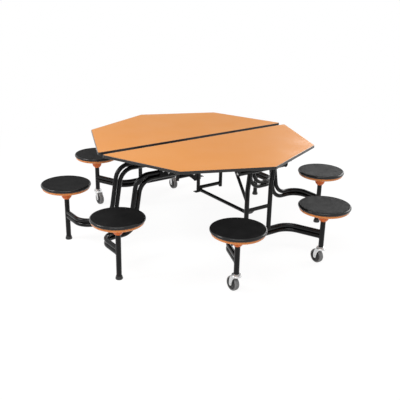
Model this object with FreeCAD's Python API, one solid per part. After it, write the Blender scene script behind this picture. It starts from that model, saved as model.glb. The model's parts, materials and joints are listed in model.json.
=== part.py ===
import FreeCAD, Part
import math
import os
from FreeCAD import Vector

# Folding cafeteria table: a split octagonal top on a tube frame, with eight stools.
# All lengths are millimetres. The origin is on the floor under the middle of the top,
# X runs along the split between the two halves of the top, -Y is the front and +Z is up.
# The back half is the front half turned half a turn about Z.

os.makedirs("parts", exist_ok=True)

# Top
top_across_flats = 1524.0
top_height = 746.0
board_thickness = 20.0
edging_thickness = 3.0
edging_rounding = 2.5
edging_tongue_depth = 8.0
edging_tongue_height = 2.0
split_gap = 48.0
corner_rounding = 14.0

# Frame tube
tube_diameter = 32.0
tube_wall = 1.8
pair_gap = 0.5
weld_gap = 0.2
rail_bend_radius = 127.0
leg_bend_radius = 108.0

# Centre frame
beam_offset = 137.0
beam_drop = 122.0
leg_top_reach = 603.0
leg_foot_spread = 62.0
glide_arm_reach = 243.0
glide_arm_height = 199.0
tie_reach = 330.0
bar_diameter = 26.0
bar_wall = 1.6

# Hangers under the centre beams
hanger_reach = 102.0
hanger_drop = 162.0
hanger_tail = 26.0
gusset_reach = 170.0
gusset_toe = 6.0
gusset_depth = 72.0
gusset_foot = 22.0
gusset_middle_reach = 66.0
gusset_middle_depth = 34.0
gusset_thickness = 4.0
gusset_bolt_in = 28.0
gusset_bolt_drop = 18.0
stop_pad_length = 44.0
stop_pad_shift = 10.0
stop_pad_width = 34.0
stop_pad_thickness = 4.0

# Caster frames
caster_frame_offset = 696.0
caster_arm_height = 220.0
caster_leg_reach = 102.0
caster_leg_top_rise = 140.0
arm_splay_degrees = 22.5

# Stools
glide_stool_y = 387.0
caster_stool_x = 375.0
caster_stool_y = 947.0
seat_height = 442.0
seat_diameter = 360.0
seat_thickness = 22.0
seat_dish = 2.5
seat_rim_tuck = 6.0
seat_rim_crown = 10.0
seat_rim_swell = 1.6
pan_edge_inset = 8.0
pan_edge_height = 10.0
pan_shoulder_inset = 16.0
pan_shoulder_drop = 22.0
trumpet_radius = 68.0
trumpet_drop = 30.0
throat_radius = 48.0
throat_drop = 40.0
waist_radius = 39.0
waist_drop = 56.0
hub_neck_radius = 35.0
hub_neck_drop = 78.0
hub_end_radius = 23.0
hub_length = 99.0
pan_wall = 4.0
post_diameter = 36.0
post_wall = 2.0
post_fit_gap = 0.1
flange_radius = 60.0
flange_thickness = 5.0

# Glide feet
foot_diameter = 50.0
foot_height = 25.0
foot_base = 6.0
foot_collar_wall = 3.0
foot_edge_rounding = 4.0

# Casters
wheel_diameter = 100.0
wheel_width = 32.0
wheel_rounding = 4.0
wheel_recess_depth = 4.0
wheel_recess_inner_radius = 14.0
wheel_recess_outer_radius = 36.0
caster_height = 126.0
caster_trail = 30.0
race_radius = 30.0
race_thickness = 5.0
stem_length = 46.0
king_pin_radius = 6.0
swivel_gap = 0.5
crown_radius = 33.0
crown_thickness = 12.0
fork_plate_thickness = 3.0
fork_side_gap = 5.0
fork_root_reach = 22.0
fork_front_reach = 40.0
fork_back_reach = 8.0
fork_eye_radius = 13.0
axle_radius = 5.0
axle_head_radius = 8.5
axle_head_thickness = 4.0
pin_clearance = 0.05

# Hinges between the top and the frames
hinge_drop = 31.0
hinge_set_out = 10.0
pivot_set_out = 18.0
hinge_pin_radius = 6.0
pin_head_overhang = 3.0
pin_head_thickness = 3.0
fold_lug_left = 394.0
fold_lug_right = 480.0
fold_lug_thickness = 6.0
fold_lug_eye_radius = 14.0
fold_lug_root_radius = 12.0
lug_foot_length = 104.0
lug_foot_low = 10.0
lug_foot_high = 48.0
lug_foot_thickness = 4.0
lug_bolt_spacing = 42.0
lug_bolt_low = 5.0
lug_bolt_high = 25.0
bolt_radius = 4.0
bolt_head_radius = 7.0
bolt_head_height = 5.0
cheek_thickness = 3.0
cheek_gap = 0.5
cheek_eye_radius = 13.0
cheek_root_radius = 20.0
base_plate_thickness = 3.0
base_plate_length = 96.0
base_plate_margin = 16.0
pivot_bracket_reach = 203.0
pivot_cheek_radius = 21.0
pivot_cheek_root_radius = 24.0
pivot_plate_length = 84.0
pivot_screw_spacing = 56.0
pivot_tube_diameter = 35.0
pivot_tube_wall = 4.0
bush_length = 24.0

# Screws under the top
screw_head_radius = 6.0
screw_head_height = 3.5
screw_radius = 2.5
screw_bite = 14.0
screw_spacing = 64.0

# Lower links
link_radius = 12.5
link_x = 74.0
link_eye_radius = 13.0
link_eye_thickness = 12.0
link_clearance = 1.0
link_flat_inner = 62.0
link_flat_outer = 52.0
link_pin_radius = 5.0
link_cheek_thickness = 4.0
link_cheek_root_inset = 0.5
link_cheek_eye_radius = 12.5

# Gas springs
spring_x = 46.0
spring_top_y = 450.0
spring_top_drop = 32.0
spring_body_radius = 11.0
spring_body_wall = 2.0
spring_body_length = 296.0
spring_neck_length = 24.0
spring_neck_radius = 4.0
spring_rod_radius = 4.0
spring_eye_radius = 9.0
spring_eye_thickness = 8.0
spring_side_gap = 1.0
spring_gland_length = 12.0
spring_rod_hidden = 240.0
spring_piston_length = 10.0
spring_piston_gap = 0.3
spring_pin_radius = 4.0
spring_bracket_length = 74.0
spring_screw_spacing = 50.0

# Places worked out from the sizes above
tube_radius = tube_diameter / 2
bar_radius = bar_diameter / 2
post_radius = post_diameter / 2
seat_radius = seat_diameter / 2
wheel_radius = wheel_diameter / 2
pivot_tube_radius = pivot_tube_diameter / 2
pair_step = (tube_diameter + pair_gap) / 2
underside = top_height - board_thickness
hinge_z = underside - hinge_drop
fold_y = beam_offset + hinge_set_out
pivot_y = caster_frame_offset + pivot_set_out
beam_height = hinge_z - beam_drop
bar_height = beam_height - hanger_drop
caster_leg_bend_height = hinge_z - caster_leg_top_rise
leg_foot_reach = leg_top_reach + leg_foot_spread
glide_stool_x = leg_foot_reach + glide_arm_reach
link_length = pivot_y - fold_y
link_step = bar_radius + link_eye_radius + link_clearance
link_z = bar_height - link_step
link_outer_y = caster_frame_offset - link_step
link_inner_y = link_outer_y - link_length
seat_bottom = seat_height - seat_thickness
beam_upper = beam_height + pair_step
beam_lower = beam_height - pair_step

x_axis = Vector(1, 0, 0)
y_axis = Vector(0, 1, 0)
z_axis = Vector(0, 0, 1)


def rod(start, end, radius):
    """A round bar from one point to another."""
    way = end - start
    return Part.makeCylinder(radius, way.Length, start, way)


def pipe(start, end, radius, wall):
    """A straight hollow tube from one point to another."""
    return rod(start, end, radius).cut(rod(start, end, radius - wall))


def box(low, high):
    """A block between its lowest and highest corners."""
    size = high - low
    return Part.makeBox(size.x, size.y, size.z, low)


def ring(centre, way, radius, wall):
    """The cut end of a tube, as a flat ring."""
    outside = Part.Face(Part.Wire(Part.makeCircle(radius, centre, way)))
    inside = Part.Face(Part.Wire(Part.makeCircle(radius - wall, centre, way)))
    return outside.cut(inside).Faces[0]


def bent_tube(points, radius, wall, bend_radius):
    """A tube with straight runs between the points and a round bend at each corner."""
    runs = []
    start = points[0]
    for before, corner, after in zip(points, points[1:], points[2:]):
        inward = (corner - before).normalize()
        onward = (after - corner).normalize()
        turn = inward.getAngle(onward)
        reach = bend_radius * math.tan(turn / 2)
        bend_start = corner - inward * reach
        bend_axis = inward.cross(onward).normalize()
        bend_centre = bend_start + bend_axis.cross(inward) * bend_radius
        end_ring = ring(bend_start, inward, radius, wall)
        runs.append(pipe(start, bend_start, radius, wall))
        runs.append(end_ring.revolve(bend_centre, bend_axis, math.degrees(turn)))
        start = corner + onward * reach
    runs.append(pipe(start, points[-1], radius, wall))
    return runs[0].fuse(runs[1:])


def strap(first, first_radius, second, second_radius, x, thickness):
    """A flat plate in the YZ plane: two round ends joined by tangent sides, centred on x."""
    way = second - first
    lean = math.atan2(way.z, way.y)
    spread = math.acos((first_radius - second_radius) / math.hypot(way.y, way.z))

    def rim(centre, radius, angle):
        across = radius * math.cos(angle)
        up = radius * math.sin(angle)
        return Vector(x - thickness / 2, centre.y + across, centre.z + up)

    left = lean + spread
    right = lean - spread
    far_arc = Part.Arc(rim(second, second_radius, left), rim(second, second_radius, lean),
                       rim(second, second_radius, right))
    near_arc = Part.Arc(rim(first, first_radius, right), rim(first, first_radius, lean + math.pi),
                        rim(first, first_radius, left))
    edges = [
        Part.makeLine(rim(first, first_radius, left), rim(second, second_radius, left)),
        far_arc.toShape(),
        Part.makeLine(rim(second, second_radius, right), rim(first, first_radius, right)),
        near_arc.toShape(),
    ]
    return Part.Face(Part.Wire(edges)).extrude(x_axis * thickness)


def turned(profile, centre):
    """A solid turned about Z from radius and height pairs, placed on a stool axis."""
    points = [Vector(radius, 0, height) for radius, height in profile]
    solid = Part.Face(Part.makePolygon(points + points[:1])).revolve(Vector(), z_axis, 360)
    solid.translate(centre)
    return solid


def half_turn(shape):
    """The same piece on the other half of the table."""
    copy = shape.copy()
    copy.rotate(Vector(), z_axis, 180)
    return copy


def save(name, pieces):
    """Write one node, as one solid or as a group of separate solids."""
    solids = [solid for piece in pieces for solid in piece.Solids]
    shape = solids[0] if len(solids) == 1 else Part.makeCompound(solids)
    shape.exportStep("parts/" + name + ".step")


def save_both(part_name, pieces):
    """Write a front node and the same node on the back half."""
    save("front_" + part_name, pieces)
    save("back_" + part_name, [half_turn(piece) for piece in pieces])


def save_all_round(part_name, pieces):
    """Write one node that holds the front pieces and their copies on the back half."""
    save(part_name, pieces + [half_turn(piece) for piece in pieces])


# Outline of the front half of the top
def half_outline(inset):
    """Rounded half octagon, drawn in from the outer edge of the edging by the inset."""
    reach = (top_across_flats / 2 - inset) / math.cos(math.pi / 8)
    corners = []
    for step in range(5):
        angle = math.pi + step * math.pi / 4
        corners.append(Vector(reach * math.cos(angle), reach * math.sin(angle) - split_gap / 2, 0))
    slope = (corners[1] - corners[0]).normalize()
    cut = slope * (inset / abs(slope.y))
    corners[0] = corners[0] + cut
    corners[4] = corners[4] + Vector(-cut.x, cut.y, 0)
    rounding = corner_rounding - inset
    bends = []
    for index, corner in enumerate(corners):
        back = (corners[index - 1] - corner).normalize()
        onward = (corners[(index + 1) % len(corners)] - corner).normalize()
        half_opening = back.getAngle(onward) / 2
        run_in = rounding / math.tan(half_opening)
        tip_gap = rounding / math.sin(half_opening) - rounding
        middle = (back + onward).normalize() * tip_gap
        bends.append((corner + back * run_in, corner + middle, corner + onward * run_in))
    edges = []
    for index, (start, middle, end) in enumerate(bends):
        next_start = bends[(index + 1) % len(bends)][0]
        edges.append(Part.Arc(start, middle, end).toShape())
        edges.append(Part.makeLine(end, next_start))
    return Part.Wire(edges)


def half_slab(inset, low, height):
    """A slab with the outline of half of the top."""
    face = Part.Face(half_outline(inset))
    face.translate(z_axis * low)
    return face.extrude(z_axis * height)


# Stool pieces on one axis
def seat_top(x, y):
    """The black seat, with a rolled rim and a slightly dished top."""
    rim_height = (seat_bottom + seat_height) / 2
    tuck = Vector(seat_radius - seat_rim_tuck, 0, seat_bottom)
    widest = Vector(seat_radius, 0, rim_height)
    crown = Vector(seat_radius - seat_rim_crown, 0, seat_height)
    middle = Vector(0, 0, seat_height - seat_dish)
    floor_middle = Vector(0, 0, seat_bottom)
    lower_way = (tuck + widest) / 2 + x_axis * seat_rim_swell
    upper_way = (crown + widest) / 2 + x_axis * seat_rim_swell + z_axis * seat_rim_swell
    edges = [
        Part.makeLine(floor_middle, tuck),
        Part.Arc(tuck, lower_way, widest).toShape(),
        Part.Arc(widest, upper_way, crown).toShape(),
        Part.makeLine(crown, middle),
        Part.makeLine(middle, floor_middle),
    ]
    solid = Part.Face(Part.Wire(edges)).revolve(Vector(), z_axis, 360)
    solid.translate(Vector(x, y, 0))
    return solid


def seat_pan(x, y):
    """The orange dish under a seat, with the hub that closes round the post."""
    bore = post_radius + post_fit_gap
    floor_drop = trumpet_drop - pan_wall
    inner_radius = seat_radius - pan_edge_inset - pan_wall
    profile = [
        (seat_radius - pan_edge_inset, seat_bottom),
        (seat_radius - pan_edge_inset, seat_bottom - pan_edge_height),
        (seat_radius - pan_shoulder_inset, seat_bottom - pan_shoulder_drop),
        (trumpet_radius, seat_bottom - trumpet_drop),
        (throat_radius, seat_bottom - throat_drop),
        (waist_radius, seat_bottom - waist_drop),
        (hub_neck_radius, seat_bottom - hub_neck_drop),
        (hub_end_radius, seat_bottom - hub_length),
        (bore, seat_bottom - hub_length),
        (bore, seat_bottom - floor_drop),
        (trumpet_radius, seat_bottom - floor_drop),
        (seat_radius - pan_shoulder_inset - pan_wall, seat_bottom - pan_shoulder_drop + pan_wall),
        (inner_radius, seat_bottom - pan_edge_height),
        (inner_radius, seat_bottom),
    ]
    return turned(profile, Vector(x, y, 0))


def stool_post(x, y, low):
    """A stool post, and the flange on its top that carries the seat."""
    foot = Vector(x, y, low)
    head = Vector(x, y, seat_bottom - flange_thickness)
    top = Vector(x, y, seat_bottom)
    return [pipe(foot, head, post_radius, post_wall), rod(head, top, flange_radius)]


def glide_foot(x, y):
    """The flared glide pushed over the lower end of a post."""
    foot_radius = foot_diameter / 2
    bore = post_radius + post_fit_gap
    profile = [
        (0, 0),
        (foot_radius - foot_edge_rounding, 0),
        (foot_radius, foot_edge_rounding),
        (foot_radius, foot_base + foot_edge_rounding),
        (bore + foot_collar_wall, foot_height),
        (bore, foot_height),
        (bore, foot_base),
        (0, foot_base),
    ]
    return turned(profile, Vector(x, y, 0))


# Casters, drawn on a post axis; they trail towards the middle of the table
def caster_stem(x, y):
    """The fixed half of a swivel: a stem in the post, a race and the king pin."""
    race_top = Vector(x, y, caster_height)
    race_low = race_top - z_axis * race_thickness
    stem_top = race_top + z_axis * stem_length
    pin_low = race_low - z_axis * (swivel_gap + crown_thickness)
    stem = rod(race_top, stem_top, post_radius - post_wall - post_fit_gap)
    return stem.fuse([rod(race_low, race_top, race_radius), rod(pin_low, race_low, king_pin_radius)])


def fork_cheek(x, y, root_z):
    """One cheek of a fork: a bulged front edge, a round eye and a hollowed back edge."""
    middle_z = (root_z + wheel_radius) / 2
    front_root = Vector(x, y + fork_root_reach, root_z)
    front_middle = Vector(x, y + fork_front_reach, middle_z)
    front_eye = Vector(x, y + caster_trail + fork_eye_radius, wheel_radius)
    low_eye = Vector(x, y + caster_trail, wheel_radius - fork_eye_radius)
    back_eye = Vector(x, y + caster_trail - fork_eye_radius, wheel_radius)
    back_middle = Vector(x, y + fork_back_reach, middle_z)
    back_root = Vector(x, y - fork_root_reach, root_z)
    edges = [
        Part.Arc(front_root, front_middle, front_eye).toShape(),
        Part.Arc(front_eye, low_eye, back_eye).toShape(),
        Part.Arc(back_eye, back_middle, back_root).toShape(),
        Part.makeLine(back_root, front_root),
    ]
    return Part.Face(Part.Wire(edges)).extrude(x_axis * fork_plate_thickness)


def caster_fork(x, y):
    """The swivelling fork: a crown, two cheeks, and the axle bolt held in them."""
    inner_half = wheel_width / 2 + fork_side_gap
    crown_top = caster_height - race_thickness - swivel_gap
    crown = rod(Vector(x, y, crown_top - crown_thickness), Vector(x, y, crown_top), crown_radius)
    root_z = crown_top - crown_thickness / 2
    axle = Vector(x, y + caster_trail, wheel_radius)
    cheeks = [
        fork_cheek(x - inner_half - fork_plate_thickness, y, root_z),
        fork_cheek(x + inner_half, y, root_z),
    ]
    bore = rod(Vector(x, y, 0), Vector(x, y, caster_height), king_pin_radius + pin_clearance)
    reach = x_axis * (inner_half + fork_plate_thickness)
    head = x_axis * axle_head_thickness
    right_head = rod(axle + reach, axle + reach + head, axle_head_radius)
    left_head = rod(axle - reach - head, axle - reach, axle_head_radius)
    bolt = rod(axle - reach, axle + reach, axle_radius).fuse([right_head, left_head])
    return [crown.fuse(cheeks).cut([bore, bolt]), bolt]


def caster_wheel(x, y):
    """A wheel with a bored hub and a shallow recess in each side."""
    half = wheel_width / 2
    bore = axle_radius + pin_clearance
    floor = half - wheel_recess_depth
    profile = [
        (bore, -half),
        (wheel_recess_inner_radius, -half),
        (wheel_recess_inner_radius, -floor),
        (wheel_recess_outer_radius, -floor),
        (wheel_recess_outer_radius, -half),
        (wheel_radius - wheel_rounding, -half),
        (wheel_radius, -half + wheel_rounding),
        (wheel_radius, half - wheel_rounding),
        (wheel_radius - wheel_rounding, half),
        (wheel_recess_outer_radius, half),
        (wheel_recess_outer_radius, floor),
        (wheel_recess_inner_radius, floor),
        (wheel_recess_inner_radius, half),
        (bore, half),
    ]
    wheel = turned(profile, Vector())
    wheel.rotate(Vector(), y_axis, 90)
    wheel.translate(Vector(x, y + caster_trail, wheel_radius))
    return wheel


# Pins and bolts
def headed_pin(centre, half_length, radius):
    """A pin along X that passes through a bracket, with a head outside each cheek."""
    reach = x_axis * half_length
    head = x_axis * pin_head_thickness
    head_radius = radius + pin_head_overhang
    right_head = rod(centre + reach, centre + reach + head, head_radius)
    left_head = rod(centre - reach - head, centre - reach, head_radius)
    return rod(centre - reach, centre + reach, radius).fuse([right_head, left_head])


def under_screw(x, y):
    """A screw driven up through a base plate into the board."""
    seat = Vector(x, y, underside - base_plate_thickness)
    tip = Vector(x, y, underside + screw_bite)
    head = rod(seat - z_axis * screw_head_height, seat, screw_head_radius)
    return rod(seat, tip, screw_radius).fuse(head)


def frame_bolt(x, y, z, grip):
    """A bolt along Y with its head on the front face of a plate."""
    seat = Vector(x, y, z)
    head = rod(seat - y_axis * bolt_head_height, seat, bolt_head_radius)
    return rod(seat, seat + y_axis * grip, bolt_radius).fuse(head)


# Brackets under the front half of the top
screws = []


def under_bracket(x, y, pin_z, sides, half_gap, length, spacing, root_radius, eye_radius):
    """A base plate on the underside with hanging cheeks, and its two screws."""
    width = half_gap + cheek_thickness + base_plate_margin
    low = Vector(x - width, -y - length / 2, underside - base_plate_thickness)
    high = Vector(x + width, -y + length / 2, underside)
    root = Vector(0, -y, underside - root_radius)
    eye = Vector(0, -y, pin_z)
    cheeks = []
    for side in sides:
        middle = x + side * (half_gap + cheek_thickness / 2)
        edge = Vector(middle - cheek_thickness / 2, -y - root_radius, root.z)
        far_edge = Vector(middle + cheek_thickness / 2, -y + root_radius, underside)
        plate = strap(root, root_radius, eye, eye_radius, middle, cheek_thickness)
        cheeks.append(plate.fuse(box(edge, far_edge)))
    screw_x = x + width - base_plate_margin / 2
    screws.append(under_screw(screw_x, -y - spacing / 2))
    screws.append(under_screw(screw_x, -y + spacing / 2))
    return box(low, high).fuse(cheeks)


fold_half_gap = fold_lug_thickness / 2 + cheek_gap
brackets = []
hinge_pins = []
for lug_x in (-fold_lug_left, fold_lug_right):
    bracket = under_bracket(lug_x, fold_y, hinge_z, (-1, 1), fold_half_gap, base_plate_length,
                            screw_spacing, cheek_root_radius, cheek_eye_radius)
    pin_centre = Vector(lug_x, -fold_y, hinge_z)
    brackets.append(bracket)
    hinge_pins.append(headed_pin(pin_centre, fold_half_gap + cheek_thickness, hinge_pin_radius))

for side in (-1, 1):
    bracket = under_bracket(side * pivot_bracket_reach, pivot_y, hinge_z, (side,), 0,
                            pivot_plate_length, pivot_screw_spacing, pivot_cheek_root_radius,
                            pivot_cheek_radius)
    brackets.append(bracket)
pivot_centre = Vector(0, -pivot_y, hinge_z)
hinge_pins.append(headed_pin(pivot_centre, pivot_bracket_reach + cheek_thickness, hinge_pin_radius))

spring_top = Vector(-spring_x, -spring_top_y, underside - spring_top_drop)
spring_half_gap = spring_eye_thickness / 2 + cheek_gap
spring_bracket = under_bracket(-spring_x, spring_top_y, spring_top.z, (-1, 1), spring_half_gap,
                               spring_bracket_length, spring_screw_spacing, cheek_root_radius,
                               cheek_eye_radius)
brackets.append(spring_bracket)
hinge_pins.append(headed_pin(spring_top, spring_half_gap + cheek_thickness, spring_pin_radius))

# Front half of the top
tongue_low = underside + (board_thickness - edging_tongue_height) / 2
tongue_inset = edging_thickness + edging_tongue_depth
tongue = half_slab(edging_thickness, tongue_low, edging_tongue_height)
tongue = tongue.cut(half_slab(tongue_inset, underside, board_thickness))
board = half_slab(edging_thickness, underside, board_thickness)
rim = half_slab(0, underside, board_thickness)
rim_edges = [edge for edge in rim.Edges if edge.BoundBox.ZLength < edging_rounding]
edging = rim.makeFillet(edging_rounding, rim_edges).cut(board).fuse(tongue)

save_both("top_board", [board.cut([tongue] + screws)])
save_both("top_edging", [edging])
save_both("top_brackets", [bracket.cut(screws + hinge_pins) for bracket in brackets])
save_both("top_hinge_pins", hinge_pins)
save_both("top_screws", screws)


# Centre frame: two double tube frames whose splayed legs turn out to a stool at each end
def centre_tube(step):
    """One tube from the front left stool, up and over the beam, to the front right stool."""
    foot_x = leg_foot_reach + step
    top_x = leg_top_reach + step
    arm_z = glide_arm_height + step
    beam_z = beam_height + step
    points = [
        Vector(-glide_stool_x, -glide_stool_y, arm_z),
        Vector(-glide_stool_x, -beam_offset, arm_z),
        Vector(-foot_x, -beam_offset, arm_z),
        Vector(-top_x, -beam_offset, beam_z),
        Vector(top_x, -beam_offset, beam_z),
        Vector(foot_x, -beam_offset, arm_z),
        Vector(glide_stool_x, -beam_offset, arm_z),
        Vector(glide_stool_x, -glide_stool_y, arm_z),
    ]
    return bent_tube(points, tube_radius, tube_wall, leg_bend_radius)


def post_room(x, y):
    """The room that a post takes out of the tubes welded to it."""
    return rod(Vector(x, y, 0), Vector(x, y, seat_bottom), post_radius)


glide_room = [post_room(-glide_stool_x, -glide_stool_y), post_room(glide_stool_x, -glide_stool_y)]
save_both("frame_outer_tube", [centre_tube(pair_step).cut(glide_room)])
save_both("frame_inner_tube", [centre_tube(-pair_step).cut(glide_room)])

glide_posts = []
glide_feet = []
glide_pans = []
for side in (-1, 1):
    glide_posts += stool_post(side * glide_stool_x, -glide_stool_y, foot_base)
    glide_feet.append(glide_foot(side * glide_stool_x, -glide_stool_y))
    glide_pans.append(seat_pan(side * glide_stool_x, -glide_stool_y))
save_all_round("glide_stool_posts", glide_posts)
save_all_round("glide_feet", glide_feet)
save_all_round("glide_stool_pans", glide_pans)
save_both("left_glide_seat", [seat_top(-glide_stool_x, -glide_stool_y)])
save_both("right_glide_seat", [seat_top(glide_stool_x, -glide_stool_y)])

# Ties between the two beams
beam_room = [rod(Vector(-leg_top_reach, side * beam_offset, beam_lower),
                 Vector(leg_top_reach, side * beam_offset, beam_lower), tube_radius)
             for side in (-1, 1)]
ties = [pipe(Vector(side * tie_reach, -beam_offset, beam_lower),
             Vector(side * tie_reach, beam_offset, beam_lower), bar_radius, bar_wall)
        for side in (-1, 1)]
save("frame_ties", [tie.cut(beam_room) for tie in ties])

# Hanger under the front beam: two uprights, a crossbar, a stop pad and a gusset
hanger_low = bar_height - hanger_tail
hanger_bar = pipe(Vector(-hanger_reach, -beam_offset, bar_height),
                  Vector(hanger_reach, -beam_offset, bar_height), bar_radius, bar_wall)
hanger_pieces = []
for side in (-1, 1):
    upright_x = side * hanger_reach
    low = Vector(upright_x, -beam_offset, hanger_low)
    high = Vector(upright_x, -beam_offset, beam_lower)
    hanger_pieces.append(pipe(low, high, bar_radius, bar_wall).cut(beam_room))
    hanger_bar = hanger_bar.cut(rod(low, high, bar_radius + weld_gap))
pad_x = -hanger_reach - stop_pad_shift
pad_low = Vector(pad_x - stop_pad_length / 2, -beam_offset - stop_pad_width / 2,
                 hanger_low - stop_pad_thickness)
pad_high = Vector(pad_x + stop_pad_length / 2, -beam_offset + stop_pad_width / 2, hanger_low)
save_both("frame_hanger", hanger_pieces + [hanger_bar, box(pad_low, pad_high)])

# Gusset between the front beam and the left upright, with a hollowed lower edge and a bolt
gusset_x = -hanger_reach - bar_radius
gusset_y = -beam_offset - gusset_thickness / 2
gusset_top = beam_lower - tube_radius
gusset_heel = Vector(gusset_x, gusset_y, gusset_top - gusset_depth)
gusset_corner = Vector(gusset_x, gusset_y, gusset_top)
gusset_tip = Vector(gusset_x - gusset_reach, gusset_y, gusset_top)
gusset_toe_end = gusset_tip - z_axis * gusset_toe
gusset_foot_end = gusset_heel - x_axis * gusset_foot
gusset_middle = Vector(gusset_x - gusset_middle_reach, gusset_y, gusset_top - gusset_middle_depth)
gusset_edges = [
    Part.makeLine(gusset_heel, gusset_corner),
    Part.makeLine(gusset_corner, gusset_tip),
    Part.makeLine(gusset_tip, gusset_toe_end),
    Part.Arc(gusset_toe_end, gusset_middle, gusset_foot_end).toShape(),
    Part.makeLine(gusset_foot_end, gusset_heel),
]
gusset_bolt = frame_bolt(gusset_x - gusset_bolt_in, gusset_y, gusset_top - gusset_bolt_drop,
                         gusset_thickness)
gusset = Part.Face(Part.Wire(gusset_edges)).extrude(y_axis * gusset_thickness).cut(gusset_bolt)
frame_bolts = [gusset_bolt]

# Hinge lugs bolted to the face of the front beam
lugs = []
for lug_x in (-fold_lug_left, fold_lug_right):
    face_y = -beam_offset - tube_radius
    beam_top = beam_upper + tube_radius
    foot_low = Vector(lug_x - lug_foot_length / 2, face_y - lug_foot_thickness,
                      beam_height - lug_foot_low)
    foot_high = Vector(lug_x + lug_foot_length / 2, face_y, beam_height + lug_foot_high)
    foot = box(foot_low, foot_high)
    root = Vector(0, -fold_y, beam_top + weld_gap + fold_lug_root_radius)
    eye = Vector(0, -fold_y, hinge_z)
    lug = strap(root, fold_lug_root_radius, eye, fold_lug_eye_radius, lug_x, fold_lug_thickness)
    pin_room = rod(Vector(lug_x - lug_foot_length, -fold_y, hinge_z),
                   Vector(lug_x + lug_foot_length, -fold_y, hinge_z),
                   hinge_pin_radius + pin_clearance)
    bolt_y = face_y - lug_foot_thickness
    high_bolt = frame_bolt(lug_x - lug_bolt_spacing / 2, bolt_y, beam_height + lug_bolt_high,
                           lug_foot_thickness)
    low_bolt = frame_bolt(lug_x + lug_bolt_spacing / 2, bolt_y, beam_height + lug_bolt_low,
                          lug_foot_thickness)
    lugs.append(foot.fuse(lug).cut([pin_room, high_bolt, low_bolt]))
    frame_bolts.append(high_bolt)
    frame_bolts.append(low_bolt)
save_all_round("frame_hinge_lugs", lugs)
save_all_round("frame_gussets", [gusset])
save_all_round("frame_bolts", frame_bolts)


# Lower link pivots: two cheeks round a crossbar and a pin through them
def link_pivot(bar_y, eye_y):
    """Two cheeks on a crossbar with the pin of the link between them."""
    bar = Vector(0, -bar_y, bar_height)
    eye = Vector(0, -eye_y, link_z)
    half_gap = link_eye_thickness / 2 + cheek_gap
    bar_room = rod(Vector(-hanger_reach, -bar_y, bar_height),
                   Vector(hanger_reach, -bar_y, bar_height), bar_radius)
    pin = headed_pin(Vector(-link_x, -eye_y, link_z), half_gap + link_cheek_thickness,
                     link_pin_radius)
    cheeks = []
    for side in (-1, 1):
        middle = -link_x + side * (half_gap + link_cheek_thickness / 2)
        cheek = strap(bar, bar_radius - link_cheek_root_inset, eye, link_cheek_eye_radius, middle,
                      link_cheek_thickness)
        cheeks.append(cheek.cut([bar_room, pin]))
    return cheeks + [pin]


save_all_round("frame_link_pivots", link_pivot(beam_offset, link_inner_y))

# Front lower link
link_inner = Vector(-link_x, -link_inner_y, link_z)
link_outer = Vector(-link_x, -link_outer_y, link_z)
eye_half = x_axis * (link_eye_thickness / 2)
link_eyes = [rod(place - eye_half, place + eye_half, link_eye_radius)
             for place in (link_inner, link_outer)]
link_bores = [rod(place - eye_half, place + eye_half, link_pin_radius + pin_clearance)
              for place in (link_inner, link_outer)]
link_bar = rod(link_outer, link_inner, link_radius).common(
    box(link_outer - Vector(link_eye_thickness / 2, 0, link_radius),
        link_inner + Vector(link_eye_thickness / 2, 0, link_radius)))
middle_start = link_outer + y_axis * link_flat_outer
middle_end = link_inner - y_axis * link_flat_inner
middle_bar = rod(middle_start, middle_end, link_radius)
save_both("lower_link", [link_bar.fuse([middle_bar] + link_eyes).cut(link_bores)])


# Front caster frame
def rail_tube(step):
    """One tube of the rail, from the left caster stool to the right one."""
    rail_z = caster_arm_height + step
    arm_run = caster_stool_y - caster_frame_offset
    corner_x = caster_stool_x - arm_run * math.tan(math.radians(arm_splay_degrees))
    points = [
        Vector(-caster_stool_x, -caster_stool_y, rail_z),
        Vector(-corner_x, -caster_frame_offset, rail_z),
        Vector(corner_x, -caster_frame_offset, rail_z),
        Vector(caster_stool_x, -caster_stool_y, rail_z),
    ]
    return bent_tube(points, tube_radius, tube_wall, rail_bend_radius)


caster_room = [post_room(-caster_stool_x, -caster_stool_y), post_room(caster_stool_x, -caster_stool_y)]
rail_top = caster_arm_height + pair_step
save_both("caster_rail_upper", [rail_tube(pair_step).cut(caster_room)])
save_both("caster_rail_lower", [rail_tube(-pair_step).cut(caster_room)])

caster_bar = pipe(Vector(-caster_leg_reach, -caster_frame_offset, bar_height),
                  Vector(caster_leg_reach, -caster_frame_offset, bar_height), bar_radius, bar_wall)
rail_room = rod(Vector(-caster_stool_x, -caster_frame_offset, rail_top),
                Vector(caster_stool_x, -caster_frame_offset, rail_top), tube_radius + weld_gap)
pivot_room = rod(Vector(-pivot_bracket_reach, -pivot_y, hinge_z),
                 Vector(pivot_bracket_reach, -pivot_y, hinge_z), pivot_tube_radius)
uprights = []
for side in (-1, 1):
    leg_x = side * caster_leg_reach
    leg_points = [
        Vector(leg_x, -caster_frame_offset, rail_top),
        Vector(leg_x, -caster_frame_offset, caster_leg_bend_height),
        Vector(leg_x, -pivot_y, hinge_z),
    ]
    leg_room = rod(leg_points[0], leg_points[1], tube_radius)
    upright = bent_tube(leg_points, tube_radius, tube_wall, rail_bend_radius)
    uprights.append(upright.cut([rail_room, pivot_room]))
    caster_bar = caster_bar.cut(leg_room)
save_both("caster_uprights", uprights + [caster_bar])

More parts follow.
